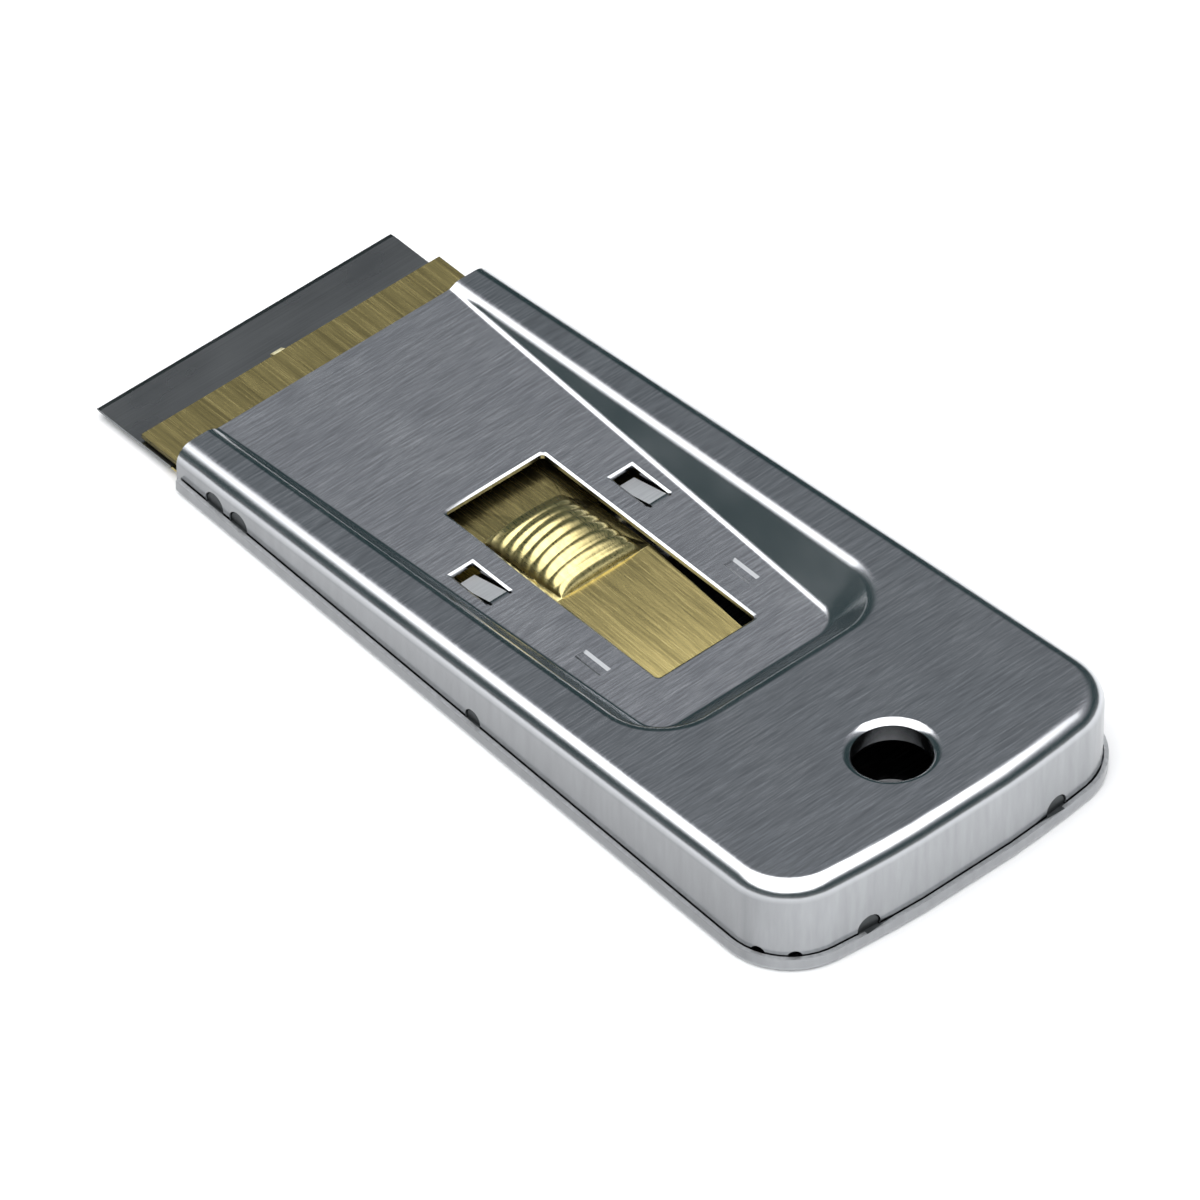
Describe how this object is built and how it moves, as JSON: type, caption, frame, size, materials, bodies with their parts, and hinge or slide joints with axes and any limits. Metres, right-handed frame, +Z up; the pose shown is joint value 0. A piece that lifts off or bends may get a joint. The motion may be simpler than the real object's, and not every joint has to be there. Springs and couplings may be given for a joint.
{
  "type": "razor blade scraper",
  "caption": "Flat pressed-steel scraper that holds a single-edge razor blade on a brass slide, moved in and out of the mouth with a ribbed thumb hump.",
  "frame": {"origin": "middle of the overall box, on the flat underside", "axes": "+X out of the mouth along the slide's travel, +Y to the left, +Z up from the underside"},
  "size_m": [0.1046, 0.0462, 0.0104],
  "materials": {
    "upper_shell": "brushed",
    "lower_shell": "brushed",
    "blade_slide": "rolled",
    "razor_blade": "satin",
    "blade_spine": "bright"
  },
  "bodies": {
    "casing": {"upper_shell": "upper_shell", "lower_shell": "lower_shell"},
    "carrier": {"blade_slide": "blade_slide", "razor_blade": "razor_blade", "blade_spine": "blade_spine"}
  },
  "joints": [
    {"name": "slide_travel", "type": "slide", "parent": "casing", "child": "carrier", "axis": [1, 0, 0], "range_m": [-0.015, 0.0044]}
  ]
}
